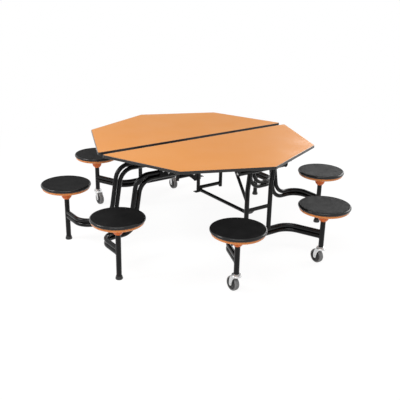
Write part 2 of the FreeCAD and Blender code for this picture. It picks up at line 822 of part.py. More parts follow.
# Pivot tube across the leg tops, with a bush pressed in each end
tube_end = pivot_bracket_reach - cheek_gap
pivot_tube = pipe(Vector(-tube_end, -pivot_y, hinge_z), Vector(tube_end, -pivot_y, hinge_z),
                  pivot_tube_radius, pivot_tube_wall)
bush_wall = pivot_tube_radius - pivot_tube_wall - hinge_pin_radius - pin_clearance
bushes = []
for side in (-1, 1):
    outer_end = Vector(side * tube_end, -pivot_y, hinge_z)
    inner_end = Vector(side * (tube_end - bush_length), -pivot_y, hinge_z)
    bushes.append(pipe(inner_end, outer_end, pivot_tube_radius - pivot_tube_wall, bush_wall))
save_both("caster_pivot_tube", [pivot_tube] + bushes)

# Caster stools on the front frame
caster_posts = []
caster_pans = []
for side in (-1, 1):
    caster_posts += stool_post(side * caster_stool_x, -caster_stool_y, caster_height)
    caster_posts.append(caster_stem(side * caster_stool_x, -caster_stool_y))
    caster_pans.append(seat_pan(side * caster_stool_x, -caster_stool_y))
save_both("caster_stool_posts", caster_posts)
save_both("caster_stool_pans", caster_pans)
save_both("left_caster_seat", [seat_top(-caster_stool_x, -caster_stool_y)])
save_both("right_caster_seat", [seat_top(caster_stool_x, -caster_stool_y)])
save_both("left_caster_fork", caster_fork(-caster_stool_x, -caster_stool_y))
save_both("right_caster_fork", caster_fork(caster_stool_x, -caster_stool_y))
save_both("left_caster_wheel", [caster_wheel(-caster_stool_x, -caster_stool_y)])
save_both("right_caster_wheel", [caster_wheel(caster_stool_x, -caster_stool_y)])

# Gas spring foot cheeks beside the outer link pivot, on the same axis
bar_centre = Vector(0, -caster_frame_offset, bar_height)
foot_eye = Vector(0, -link_outer_y, link_z)
foot_bar_room = rod(Vector(-caster_leg_reach, -caster_frame_offset, bar_height),
                    Vector(caster_leg_reach, -caster_frame_offset, bar_height), bar_radius)
foot_cheeks = []
for side in (-1, 1):
    foot_half_gap = spring_eye_thickness / 2 + spring_side_gap
    middle = -spring_x + side * (foot_half_gap + cheek_thickness / 2)
    cheek = strap(bar_centre, bar_radius - link_cheek_root_inset, foot_eye,
                  link_cheek_eye_radius, middle, cheek_thickness)
    foot_cheeks.append(cheek.cut(foot_bar_room))
save_both("caster_link_pivot", link_pivot(caster_frame_offset, link_outer_y) + foot_cheeks)

# Front gas spring, drawn down its own axis from the eye under the top
spring_foot = Vector(-spring_x, -link_outer_y, link_z)
spring_way = (spring_foot - spring_top).normalize()
body_start = spring_top + spring_way * spring_neck_length
body_end = body_start + spring_way * spring_body_length
plug_end = body_start + spring_way * spring_gland_length
gland_start = body_end - spring_way * spring_gland_length
rod_start = body_end - spring_way * spring_rod_hidden
piston_end = rod_start + spring_way * spring_piston_length
bore_radius = spring_body_radius - spring_body_wall


def spring_eye(place):
    """The flat eye at one end of the spring."""
    half = x_axis * (spring_eye_thickness / 2)
    return rod(place - half, place + half, spring_eye_radius)


def spring_eye_bore(place):
    """The hole through a spring eye."""
    half = x_axis * (spring_eye_thickness / 2)
    return rod(place - half, place + half, spring_pin_radius + pin_clearance)


neck = rod(spring_top, body_start, spring_neck_radius)
cylinder = pipe(body_start, body_end, spring_body_radius, spring_body_wall)
plug = rod(body_start, plug_end, bore_radius)
gland = pipe(gland_start, body_end, bore_radius, bore_radius - spring_rod_radius - pin_clearance)
cylinder = cylinder.fuse([neck, plug, gland, spring_eye(spring_top)])
save_both("spring_cylinder", [cylinder.cut(spring_eye_bore(spring_top))])

piston = rod(rod_start, piston_end, bore_radius - spring_piston_gap)
rod_bar = rod(rod_start, spring_foot, spring_rod_radius)
spring_rod = rod_bar.fuse([piston, spring_eye(spring_foot)])
save_both("spring_rod", [spring_rod.cut(spring_eye_bore(spring_foot))])
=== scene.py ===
import json
import math
import bpy
import bmesh
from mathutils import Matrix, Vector


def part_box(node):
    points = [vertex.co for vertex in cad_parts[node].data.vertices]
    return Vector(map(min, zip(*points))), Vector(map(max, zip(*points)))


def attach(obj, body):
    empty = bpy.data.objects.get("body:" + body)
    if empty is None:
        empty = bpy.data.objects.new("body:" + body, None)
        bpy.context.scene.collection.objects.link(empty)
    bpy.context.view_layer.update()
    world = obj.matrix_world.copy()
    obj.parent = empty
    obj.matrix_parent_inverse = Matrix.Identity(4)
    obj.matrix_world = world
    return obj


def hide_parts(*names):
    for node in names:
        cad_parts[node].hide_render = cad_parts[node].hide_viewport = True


# Folding cafeteria table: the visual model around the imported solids. All lengths are metres.
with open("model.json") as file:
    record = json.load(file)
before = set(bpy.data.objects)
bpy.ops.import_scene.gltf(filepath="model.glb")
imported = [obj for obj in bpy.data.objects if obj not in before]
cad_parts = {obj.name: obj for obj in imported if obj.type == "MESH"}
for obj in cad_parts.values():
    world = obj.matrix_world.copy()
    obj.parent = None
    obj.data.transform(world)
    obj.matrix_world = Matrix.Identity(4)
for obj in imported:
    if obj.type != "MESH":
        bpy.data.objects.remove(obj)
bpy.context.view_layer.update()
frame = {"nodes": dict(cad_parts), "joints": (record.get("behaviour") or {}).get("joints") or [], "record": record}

# Places, from the frame. A half of the table has its name and the sign of its Y.
HALVES = {"front": -1, "back": 1}
SIDES = ("left", "right")
RIGHT, UP, DOWN = Vector((1, 0, 0)), Vector((0, 0, 1)), Vector((0, 0, -1))
PIVOTS = {joint["name"]: joint["pos_m"] for joint in frame["joints"] if "pos_m" in joint}


def stool_places(half, foot):
    """The middles of a half's left and right seats, in plan, to a tenth of a millimetre."""
    places = []
    for side in SIDES:
        low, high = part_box("%s_%s_%s_seat" % (half, side, foot))
        places.append(tuple(round((low[axis] + high[axis]) / 2, 4) for axis in (0, 1)))
    return places


GLIDE_PLACES = {half: stool_places(half, "glide") for half in HALVES}
CASTER_PLACES = {half: stool_places(half, "caster") for half in HALVES}
ALL_GLIDES = GLIDE_PLACES["front"] + GLIDE_PLACES["back"]
SEAT_BOTTOM = round(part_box("front_left_glide_seat")[0][2], 4)

# Sizes of the stools and casters
POST_RADIUS, POST_BORE = 0.018, 0.016
FLANGE_RADIUS, FLANGE_THICKNESS = 0.060, 0.0048
GLIDE_SOCKET, CASTER_POST_END = 0.0062, 0.126
CROWN_MIDDLE, CHEEK_MIDDLE, CHEEK_THICKNESS, EYE_RADIUS = 0.1145, 0.0225, 0.0030, 0.013
CHEEK_ROOT, CHEEK_BULGE, CHEEK_HOLLOW = 0.022, 0.040, 0.008
AXLE_RADIUS, AXLE_HEAD_RADIUS, AXLE_HEAD_HEIGHT = 0.0049, 0.0080, 0.0040
WHEEL_HALF_WIDTH = 0.0158
SPOKES, SPOKE_TURN = 5, 0.3
SPOKE_INNER, SPOKE_OUTER, SPOKE_FOOT = 0.0140, 0.0346, 0.0096

# Sizes of the frame, where its welds are
TUBE_RADIUS, BAR_RADIUS = 0.016, 0.013
RAIL_HEIGHTS, ARM_HEIGHTS = (0.23625, 0.20375), (0.21525, 0.18275)
CASTER_RAIL_Y, BEAM_Y, BEAM_HEIGHT = 0.696, 0.137, 0.55675
UPRIGHT_X, TIE_X, CROSSBAR_HEIGHT = 0.102, 0.330, 0.411
ARM_SPLAY = math.radians(22.5)
WELD, FINE_WELD, WELD_SINK = 0.0022, 0.0018, 0.00005

# Where a tube is followed from to find its weld: before the post, or at a height above the floor
ARM_LEAD, UPRIGHT_LEVEL, HANGER_LEVEL = 0.06, 0.30, 0.45

# Bolts of the hinge feet, as shifts and heights, and of the gussets
LUG_X, LUG_FACE_Y, LUG_BOLTS = (-0.394, 0.480), 0.157, ((-0.021, 0.598), (0.021, 0.578))
GUSSET_BOLT_X, GUSSET_FACE_Y, GUSSET_BOLT_HEIGHT = 0.143, 0.139, 0.52275
BOLT_RADIUS, BOLT_HEIGHT = 0.0068, 0.0050


# Materials
def new_material(name):
    """An empty node material and its shader."""
    material = bpy.data.materials.new(name)
    material.use_nodes = True
    tree = material.node_tree
    shader = tree.nodes["Principled BSDF"]
    return material, tree, shader


def noise(tree, scale, detail, roughness=0.5):
    """A noise pattern fixed to the piece, in cycles per metre."""
    place = tree.nodes.new("ShaderNodeTexCoord")
    pattern = tree.nodes.new("ShaderNodeTexNoise")
    pattern.inputs["Scale"].default_value = scale
    pattern.inputs["Detail"].default_value = detail
    pattern.inputs["Roughness"].default_value = roughness
    tree.links.new(place.outputs["Object"], pattern.inputs["Vector"])
    return pattern.outputs["Fac"]


def spread_values(tree, source, low, high):
    """Maps the middle of a pattern to a range of numbers."""
    ramp = tree.nodes.new("ShaderNodeMapRange")
    ramp.inputs["From Min"].default_value = 0.3
    ramp.inputs["From Max"].default_value = 0.7
    ramp.inputs["To Min"].default_value = low
    ramp.inputs["To Max"].default_value = high
    tree.links.new(source, ramp.inputs["Value"])
    return ramp.outputs["Result"]


def spread_colours(tree, source, first, second, low=0.3, high=0.7):
    """Maps a pattern to a blend of two colours."""
    ramp = tree.nodes.new("ShaderNodeValToRGB")
    ramp.color_ramp.elements[0].position = low
    ramp.color_ramp.elements[0].color = (*first, 1)
    ramp.color_ramp.elements[1].position = high
    ramp.color_ramp.elements[1].color = (*second, 1)
    tree.links.new(source, ramp.inputs["Fac"])
    return ramp.outputs["Color"]


def colour_mixer(tree, first, second, kind="MIX"):
    """A node that blends two colour patterns."""
    mixer = tree.nodes.new("ShaderNodeMix")
    mixer.data_type = "RGBA"
    mixer.blend_type = kind
    tree.links.new(first, mixer.inputs["A"])
    tree.links.new(second, mixer.inputs["B"])
    return mixer


def bump(tree, shader, source, distance, strength=1.0, before=None):
    """Adds fine relief to a shader, on top of an earlier relief if there is one."""
    relief = tree.nodes.new("ShaderNodeBump")
    relief.inputs["Distance"].default_value = distance
    relief.inputs["Strength"].default_value = strength
    tree.links.new(source, relief.inputs["Height"])
    if before:
        tree.links.new(before, relief.inputs["Normal"])
    tree.links.new(relief.outputs["Normal"], shader.inputs["Normal"])
    return relief.outputs["Normal"]


def mixed_finish(name, first, second, rough, grain, relief, patches, metal=0.0, coat=0.0, specular=0.5):
    """A painted, moulded or plated finish with patches of tone, fine grain and uneven gloss."""
    material, tree, shader = new_material(name)
    shader.inputs["Metallic"].default_value = metal
    shader.inputs["Specular IOR Level"].default_value = specular
    shader.inputs["Coat Weight"].default_value = coat
    shader.inputs["Coat Roughness"].default_value = 0.08
    tone = noise(tree, patches, 4.0)
    tree.links.new(spread_colours(tree, tone, first, second), shader.inputs["Base Color"])
    gloss = noise(tree, patches * 3, 5.0, 0.6)
    tree.links.new(spread_values(tree, gloss, *rough), shader.inputs["Roughness"])
    bump(tree, shader, noise(tree, grain, 2.0), relief)
    return material


def faces_above(tree):
    """One on the board's upper side and edges, and zero on its underside."""
    place = tree.nodes.new("ShaderNodeTexCoord")
    parts = tree.nodes.new("ShaderNodeSeparateXYZ")
    above = tree.nodes.new("ShaderNodeMath")
    above.operation = "GREATER_THAN"
    above.inputs[1].default_value = -0.5
    tree.links.new(place.outputs["Normal"], parts.inputs["Vector"])
    tree.links.new(parts.outputs["Z"], above.inputs[0])
    return above.outputs["Value"]


def laminate():
    """Orange laminate with fine flecks above and a brown backing sheet below."""
    material, tree, shader = new_material("orange_laminate")
    shader.inputs["Specular IOR Level"].default_value = 0.03
    drift = spread_colours(tree, noise(tree, 1.7, 2.0), (0.785, 0.322, 0.088), (0.810, 0.342, 0.097))
    fleck = noise(tree, 900, 2.0, 0.6)
    flecks = spread_colours(tree, fleck, (0.88, 0.84, 0.78), (1.0, 1.0, 1.0), 0.36, 0.60)
    flecked = colour_mixer(tree, drift, flecks, "MULTIPLY")
    flecked.inputs["Factor"].default_value = 0.22
    fibre = noise(tree, 60, 5.0, 0.65)
    backing = spread_colours(tree, fibre, (0.035, 0.022, 0.014), (0.060, 0.038, 0.024))
    sheet = colour_mixer(tree, backing, flecked.outputs["Result"])
    tree.links.new(faces_above(tree), sheet.inputs["Factor"])
    tree.links.new(sheet.outputs["Result"], shader.inputs["Base Color"])
    tree.links.new(spread_values(tree, noise(tree, 5, 4.0), 0.34, 0.44), shader.inputs["Roughness"])
    texture = bump(tree, shader, noise(tree, 420, 2.0), 0.00003)
    bump(tree, shader, noise(tree, 2.4, 1.0), 0.0003, before=texture)
    return material


def pebbled_seat():
    """Black moulded seat top with a fine pebble texture."""
    material, tree, shader = new_material("seat_pebbled_black")
    cells = tree.nodes.new("ShaderNodeTexVoronoi")
    cells.inputs["Scale"].default_value = 620
    place = tree.nodes.new("ShaderNodeTexCoord")
    tree.links.new(place.outputs["Object"], cells.inputs["Vector"])
    tone = spread_colours(tree, noise(tree, 11, 4.0), (0.010, 0.010, 0.0102), (0.015, 0.0148, 0.015))
    tree.links.new(tone, shader.inputs["Base Color"])
    shader.inputs["Specular IOR Level"].default_value = 0.008
    tree.links.new(spread_values(tree, noise(tree, 24, 4.0), 0.32, 0.42), shader.inputs["Roughness"])
    pebbles = bump(tree, shader, cells.outputs["Distance"], 0.00022, 0.75)
    bump(tree, shader, noise(tree, 190, 3.0), 0.00006, before=pebbles)
    return material


LAMINATE = laminate()
SEAT_PEBBLE = pebbled_seat()
EDGING = mixed_finish("dark_edging", (0.011, 0.010, 0.009), (0.017, 0.015, 0.014), (0.16, 0.24),
                      grain=700, relief=0.000015, patches=30, specular=0.45)
SEAT_RIM = mixed_finish("seat_rim_black", (0.005, 0.005, 0.0055), (0.008, 0.008, 0.0085), (0.14, 0.20),
                        grain=300, relief=0.000015, patches=14, specular=0.36)
PAN = mixed_finish("pan_orange", (0.820, 0.262, 0.052), (0.870, 0.292, 0.062), (0.26, 0.36),
                   grain=340, relief=0.000025, patches=10, coat=0.05, specular=0.4)
# The hub's finish is painted redder and darker than the dish's: painted shade for the shading under the seat.
HUB_PAINTED_SHADE = mixed_finish("hub_orange_painted_shade", (0.800, 0.172, 0.028), (0.850, 0.192, 0.034), (0.28, 0.38),
                   grain=340, relief=0.000025, patches=10, coat=0.05, specular=0.25)
BLACK = mixed_finish("frame_black_enamel", (0.003, 0.003, 0.0033), (0.006, 0.006, 0.0063), (0.15, 0.22),
                     grain=420, relief=0.000015, patches=16, specular=0.22)
ROUGH_BLACK = mixed_finish("weld_black_enamel", (0.008, 0.008, 0.0085), (0.013, 0.013, 0.013),
                           (0.24, 0.36), grain=900, relief=0.00010, patches=60, specular=0.2)
ZINC = mixed_finish("bright_zinc", (0.60, 0.61, 0.62), (0.72, 0.72, 0.71), (0.20, 0.38),
                    grain=500, relief=0.00003, patches=70, metal=1.0)
FASTENER = mixed_finish("fastener_zinc", (0.50, 0.50, 0.51), (0.64, 0.63, 0.60), (0.26, 0.42),
                        grain=900, relief=0.00003, patches=120, metal=1.0)
CHROME = mixed_finish("polished_rod", (0.70, 0.70, 0.72), (0.80, 0.80, 0.81), (0.05, 0.12),
                      grain=900, relief=0.000005, patches=40, metal=1.0)
TREAD = mixed_finish("wheel_grey_rubber", (0.175, 0.176, 0.178), (0.225, 0.225, 0.224), (0.48, 0.62),
                     grain=420, relief=0.00008, patches=45)
# The wheel web's finish is painted near black: painted shade for the shadow between the fork cheeks and the tread.
WHEEL_WEB_PAINTED_SHADE = mixed_finish("wheel_web_painted_shade", (0.020, 0.020, 0.021), (0.034, 0.034, 0.034), (0.34, 0.46),
                          grain=420, relief=0.00003, patches=45)
NYLON = mixed_finish("glide_black_nylon", (0.010, 0.010, 0.010), (0.018, 0.018, 0.018), (0.34, 0.50),
                     grain=500, relief=0.00005, patches=60)


# Mesh helpers
def add_object(name, build, materials, angle=35):
    """Makes a piece from a mesh, smooth except at edges sharper than the angle in degrees."""
    bmesh.ops.remove_doubles(build, verts=build.verts, dist=0.000002)
    bmesh.ops.recalc_face_normals(build, faces=build.faces)
    for face in build.faces:
        face.smooth = True
    limit = math.radians(angle)
    for edge in build.edges:
        if len(edge.link_faces) == 2:
            edge.smooth = edge.calc_face_angle(0.0) < limit
    mesh = bpy.data.meshes.new(name)
    build.to_mesh(mesh)
    build.free()
    for material in materials:
        mesh.materials.append(material)
    piece = bpy.data.objects.new(name, mesh)
    bpy.context.scene.collection.objects.link(piece)
    return piece


def build_piece(name, shapes, materials, body, replaced=(), angle=35):
    """One piece of several shapes, with what it moves with, its finish and the nodes it stands for."""
    build = bmesh.new()
    for shape, *details in shapes:
        shape(build, *details)
    piece = add_object(name, build, materials, angle)
    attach(piece, body)
    if replaced:
        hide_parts(*replaced)


def ring_of(build, centre, across, along, radius, count):
    """One ring of points around a centre."""
    ring = []
    for step in range(count):
        angle = 2 * math.pi * step / count
        way = across * math.cos(angle) + along * math.sin(angle)
        ring.append(build.verts.new(centre + way * radius))
    return ring


def bridge(build, first, second, slot=0):
    """Faces between two rings of points."""
    count = len(first)
    for step in range(count):
        after = (step + 1) % count
        face = build.faces.new((first[step], first[after], second[after], second[step]))
        face.material_index = slot


def frame_axes(way):
    """Two directions across a line."""
    way = way.normalized()
    helper = UP if abs(way.z) < 0.9 else RIGHT
    across = way.cross(helper).normalized()
    return across, way.cross(across).normalized()


def lathe(build, profile, centre, way=UP, count=64, slots=None, closed=False):
    """Turns a profile of radius and height pairs about a line; ends on the line are closed."""
    across, along = frame_axes(way)
    way = way.normalized()
    rings = []
    for radius, height in profile:
        middle = centre + way * height
        if radius == 0:
            rings.append([build.verts.new(middle)])
        else:
            rings.append(ring_of(build, middle, across, along, radius, count))
    pairs = list(zip(rings, rings[1:]))
    if closed:
        pairs.append((rings[-1], rings[0]))
    for index, (first, second) in enumerate(pairs):
        slot = slots[index] if slots else 0
        if len(first) == 1 and len(second) == 1:
            continue
        if len(first) == 1 or len(second) == 1:
            tip, rim = (first[0], second) if len(first) == 1 else (second[0], first)
            for step in range(count):
                face = build.faces.new((tip, rim[step], rim[(step + 1) % count]))
                face.material_index = slot
        else:
            bridge(build, first, second, slot)


def smooth_line(points, steps):
    """A smooth curve through points, with a few steps between each two."""
    padded = [points[0], *points, points[-1]]
    line = []
    for index in range(len(points) - 1):
        corners = padded[index:index + 4]
        for step in range(steps):
            t = step / steps
            blended = []
            for a, b, c, d in zip(*corners):
                blended.append(0.5 * (2 * b + (c - a) * t + (2 * a - 5 * b + 4 * c - d) * t * t
                                      + (3 * b - a - 3 * c + d) * t * t * t))
            line.append(tuple(blended))
    line.append(tuple(points[-1]))
    return line


def arc_points(first, middle, last, steps=10):
    """Points along the circle through three points, without the last."""
    ax, ay = first[0] - last[0], first[1] - last[1]
    bx, by = middle[0] - last[0], middle[1] - last[1]
    d = 2 * (ax * by - ay * bx)
    a2, b2 = ax * ax + ay * ay, bx * bx + by * by
    cx = last[0] + (by * a2 - ay * b2) / d
    cy = last[1] + (ax * b2 - bx * a2) / d
    radius = math.hypot(first[0] - cx, first[1] - cy)
    angles = [math.atan2(p[1] - cy, p[0] - cx) for p in (first, middle, last)]
    turn = (angles[2] - angles[0]) % (2 * math.pi)
    if (angles[1] - angles[0]) % (2 * math.pi) > turn:
        turn -= 2 * math.pi
    line = []
    for step in range(steps):
        angle = angles[0] + turn * step / steps
        line.append((cx + radius * math.cos(angle), cy + radius * math.sin(angle)))
    return line


def plate(build, outline, x, thickness, bevel):
    """A plate across X, from an outline of Y and Z pairs, with softened edges."""
    half = thickness / 2
    middle = Vector((sum(p[0] for p in outline), sum(p[1] for p in outline))) / len(outline)
    rims = []
    for offset, depth in ((-half, bevel), (-half + bevel, 0), (half - bevel, 0), (half, bevel)):
        rim = []
        for point in outline:
            way = Vector(point) - middle
            y, z = middle + way * (1 - depth / way.length)
            rim.append(build.verts.new((x + offset, y, z)))
        rims.append(rim)
    for first, second in zip(rims, rims[1:]):
        bridge(build, first, second)
    build.faces.new(rims[0])
    build.faces.new(rims[-1])


def hex_head(build, centre, way, radius, height):
    """A hexagonal bolt head with a chamfered top, on a washer."""
    washer_radius, washer_height, chamfer = radius * 1.25, 0.0012, 0.0009
    washer = [(0, 0), (washer_radius, 0), (washer_radius, 0.0009), (radius * 1.18, washer_height),
              (0, washer_height)]
    lathe(build, washer, centre, way, count=28)
    across, along = frame_axes(way)
    way = way.normalized()
    rings = []
    for size, rise in ((1.0, washer_height), (1.0, height - chamfer), (0.88, height)):
        rings.append(ring_of(build, centre + way * rise, across, along, radius * size, 6))
    bridge(build, rings[0], rings[1])
    bridge(build, rings[1], rings[2])
    build.faces.new(rings[0])
    build.faces.new(rings[2])


def meeting_line(wall_point, wall_way, wall_radius, tube_point, tube_way, tube_radius, count):
    """Points where a tube that starts at a point first meets the round wall of another."""
    across, along = frame_axes(tube_way)
    run = tube_way - wall_way * tube_way.dot(wall_way)
    a = run.dot(run)
    line = []
    for step in range(count):
        angle = 2 * math.pi * step / count
        point = tube_point + (across * math.cos(angle) + along * math.sin(angle)) * tube_radius
        offset = point - wall_point
        flat = offset - wall_way * offset.dot(wall_way)
        b = 2 * flat.dot(run)
        c = flat.dot(flat) - wall_radius ** 2
        travel = (-b - math.sqrt(max(b * b - 4 * a * c, 0.0))) / (2 * a)
        line.append(point + tube_way * travel)
    return line


def weld_bead(build, wall, tube, bead):
    """An uneven bead where a tube meets the wall of another; each is a point, a way and a radius."""
    count, sides = 56, 8
    line = meeting_line(*wall, *tube, count)
    rings = []
    for index, point in enumerate(line):
        way = (line[(index + 1) % count] - line[index - 1]).normalized()
        swell = bead * (1 + 0.16 * math.sin(index * 2.4) + 0.08 * math.sin(index * 5.1))
        rings.append(ring_of(build, point, *frame_axes(way), swell, sides))
    for index in range(count):
        first, second = rings[index], rings[(index + 1) % count]
        turns = [second[turn:] + second[:turn] for turn in range(sides)]
        nearest = min(turns, key=lambda ring: sum((p.co - q.co).length for p, q in zip(first, ring)))
        bridge(build, first, nearest)


# Stools
def seat_shape(build, x, y):
    """The seat: a pebbled top inside a smooth rolled rim, as radius and height pairs."""
    top = smooth_line([(0.0, 0.0197), (0.050, 0.0198), (0.100, 0.0204), (0.145, 0.0213),
                       (0.1610, 0.0216)], steps=4)
    lip = [(0.1618, 0.0213), (0.1630, 0.0213), (0.1640, 0.0217), (0.1660, 0.0220), (0.1690, 0.0219),
           (0.1714, 0.0215)]
    rim = [(0.1738, 0.0207), (0.1760, 0.0194), (0.1778, 0.0174), (0.1792, 0.0148), (0.1799, 0.0116),
           (0.1797, 0.0082), (0.1786, 0.0050), (0.1767, 0.0023), (0.1748, 0.0007), (0.1735, 0.0001),
           (0.0, 0.0001)]
    slots = [0] * (len(top) + len(lip) - 1) + [1] * len(rim)
    lathe(build, top + lip + rim, Vector((x, y, SEAT_BOTTOM)), count=112, slots=slots)


def pan_shape(build, x, y):
    """The dish and its trumpet hub, hollow above, as radius and height pairs."""
    dish_steps = 34
    outer = smooth_line([(0.1720, -0.0001), (0.1722, -0.0050), (0.1716, -0.0095), (0.1692, -0.0142),
                         (0.1640, -0.0184), (0.1540, -0.0215), (0.1200, -0.0255), (0.0850, -0.0285),
                         (0.0680, -0.0315), (0.0560, -0.0370), (0.0475, -0.0455), (0.0420, -0.0560),
                         (0.0385, -0.0680), (0.0362, -0.0790), (0.0330, -0.0865), (0.0270, -0.0940),
                         (0.0240, -0.0975), (0.0232, -0.0988)], steps=4)
    inner = [(0.0185, -0.0990), (0.0185, -0.0260), (0.0680, -0.0260), (0.1500, -0.0175),
             (0.1640, -0.0125), (0.1680, -0.0070), (0.1682, -0.0001)]
    # The trumpet hub under the dish takes the second finish, whose redder, darker colour is painted shade.
    slots = [0] * dish_steps + [1] * (len(outer) + 1 - dish_steps) + [0] * (len(inner) - 1)
    lathe(build, outer + inner, Vector((x, y, SEAT_BOTTOM)), count=96, slots=slots, closed=True)


def post_shape(build, x, y, low):
    """A stool post with its flange."""
    flange_high = SEAT_BOTTOM - 0.0002
    flange_low = flange_high - FLANGE_THICKNESS
    edge = 0.0004
    profile = [(POST_BORE, low), (POST_RADIUS - edge, low), (POST_RADIUS, low + edge),
               (POST_RADIUS, flange_low), (FLANGE_RADIUS, flange_low), (FLANGE_RADIUS, flange_high),
               (0.0, flange_high), (0.0, flange_low), (POST_BORE, flange_low)]
    lathe(build, profile, Vector((x, y, 0)), count=56, closed=True)


def glide_shape(build, x, y):
    """A flared glide with a ridge and a softened foot."""
    outer = smooth_line([(0.0205, 0.0000), (0.0230, 0.0008), (0.0245, 0.0028), (0.0250, 0.0055),
                         (0.0250, 0.0095), (0.0243, 0.0125), (0.0231, 0.0155), (0.0221, 0.0195),
                         (0.0214, 0.0235), (0.0206, 0.0248)], steps=3)
    inner = [(0.0183, 0.0250), (0.0183, GLIDE_SOCKET), (0.0, GLIDE_SOCKET), (0.0, 0.0)]
    lathe(build, outer + inner, Vector((x, y, 0)), count=56, closed=True)


# Casters
def race_shape(build, x, y):
    """The fixed ball race under a caster post, with the stem collar."""
    end = Vector((x, y, CASTER_POST_END))
    race = [(0.0, 0.0000), (0.0262, 0.0000), (0.0286, -0.0005), (0.0298, -0.0016), (0.0300, -0.0028),
            (0.0294, -0.0042), (0.0280, -0.0048), (0.0, -0.0048)]
    collar = [(0.0, 0.0032), (0.0190, 0.0032), (0.0216, 0.0022), (0.0224, 0.0001), (0.0, 0.0001)]
    lathe(build, race, end, count=56)
    lathe(build, collar, end, count=56)


def cheek_outline(stem_y, axle, shrink=0.0):
    """The outline of a fork cheek: bulged front edge, round eye, hollowed back edge."""
    root = CROWN_MIDDLE - shrink
    middle = (CROWN_MIDDLE + axle.z) / 2
    eye = EYE_RADIUS - shrink
    trail = abs(axle.y - stem_y)
    way = math.copysign(1, axle.y - stem_y)

    def at(reach, height):
        return stem_y + way * reach, height

    corner, eye_front = at(CHEEK_ROOT - shrink, root), at(trail + eye, axle.z)
    eye_low, eye_back = at(trail, axle.z - eye), at(trail - eye, axle.z)
    back_corner = at(shrink - CHEEK_ROOT, root)
    front = arc_points(corner, at(CHEEK_BULGE - shrink, middle), eye_front)
    low = arc_points(eye_front, eye_low, eye_back)
    back = arc_points(eye_back, at(CHEEK_HOLLOW + shrink, middle), back_corner)
    return front + low + back + [back_corner]


def fork_shape(build, x, y, axle):
    """A pressed fork: domed crown, two cheeks with a pressed middle, axle bolt and nut."""
    crown = [(0.0062, 0.0059), (0.0265, 0.0059), (0.0300, 0.0052), (0.0322, 0.0034), (0.0330, 0.0008),
             (0.0330, -0.0046), (0.0324, -0.0056), (0.0312, -0.0060), (0.0062, -0.0060)]
    lathe(build, crown, Vector((x, y, CROWN_MIDDLE)), closed=True)
    for side in (-1, 1):
        middle = x + side * CHEEK_MIDDLE
        plate(build, cheek_outline(y, axle), middle, CHEEK_THICKNESS, bevel=0.0008)
        plate(build, cheek_outline(y, axle, shrink=0.0042), middle + side * 0.0017,
              thickness=0.0012, bevel=0.0006)
    reach = CHEEK_MIDDLE + CHEEK_THICKNESS / 2
    bolt = [(0.0, -reach), (AXLE_RADIUS, -reach), (AXLE_RADIUS, reach), (0.0, reach)]
    lathe(build, bolt, axle, RIGHT, count=28)
    for way in (RIGHT, -RIGHT):
        hex_head(build, axle + way * reach, way, AXLE_HEAD_RADIUS, AXLE_HEAD_HEIGHT)


def mirrored(profile):
    """A profile's other half, from its last point back to its first."""
    return [(radius, -height) for radius, height in reversed(profile)]


def spoke_shape(build, axle, face_side, angle):
    """One raised spoke on a side of the web, narrower toward its top."""
    way = Vector((0, math.cos(angle), math.sin(angle)))
    cross = Vector((0, -math.sin(angle), math.cos(angle)))
    rings = []
    for rise, width in ((0.0, 0.0024), (0.0034, 0.0018), (0.0042, 0.0010)):
        middle = axle + RIGHT * face_side * (SPOKE_FOOT + rise)
        ring = []
        for run, turn in ((SPOKE_INNER, -1), (SPOKE_INNER, 1), (SPOKE_OUTER, 1), (SPOKE_OUTER, -1)):
            ring.append(build.verts.new(middle + way * run + cross * turn * width))
        rings.append(ring)
    # The spokes take the web's finish, painted near black as painted shade.
    bridge(build, rings[0], rings[1], 1)
    bridge(build, rings[1], rings[2], 1)
    for ring in (rings[0], rings[2]):
        build.faces.new(ring).material_index = 1


def wheel_shape(build, axle):
    """A wheel with a rounded tread, a recessed web with spokes and a hub with a bushed bore."""
    half = WHEEL_HALF_WIDTH
    shoulder = [(0.0400, half), (0.0440, half), (0.0462, half - 0.0006), (0.0481, half - 0.0022),
                (0.0493, half - 0.0048), (0.0499, half - 0.0090)]
    tread = shoulder + [(0.0500, 0.0)] + mirrored(shoulder)
    web = [(0.0392, 0.0008 - half), (0.0384, -half), (0.0355, -half), (0.0345, 0.0008 - half),
           (0.0338, 0.0052 - half), (0.0180, 0.0058 - half), (0.0150, 0.0012 - half),
           (0.0142, -half), (0.0092, -half), (0.0082, 0.0010 - half), (0.0051, 0.0010 - half)]
    # The web, hub and spokes take the second finish, painted near black as painted shade.
    slots = [0] * (len(tread) - 1) + [1] * (2 * len(web) + 1)
    lathe(build, tread + web + mirrored(web), axle, RIGHT, 72, slots, closed=True)
    for face_side in (-1, 1):
        for step in range(SPOKES):
            spoke_shape(build, axle, face_side, 2 * math.pi * step / SPOKES + SPOKE_TURN)


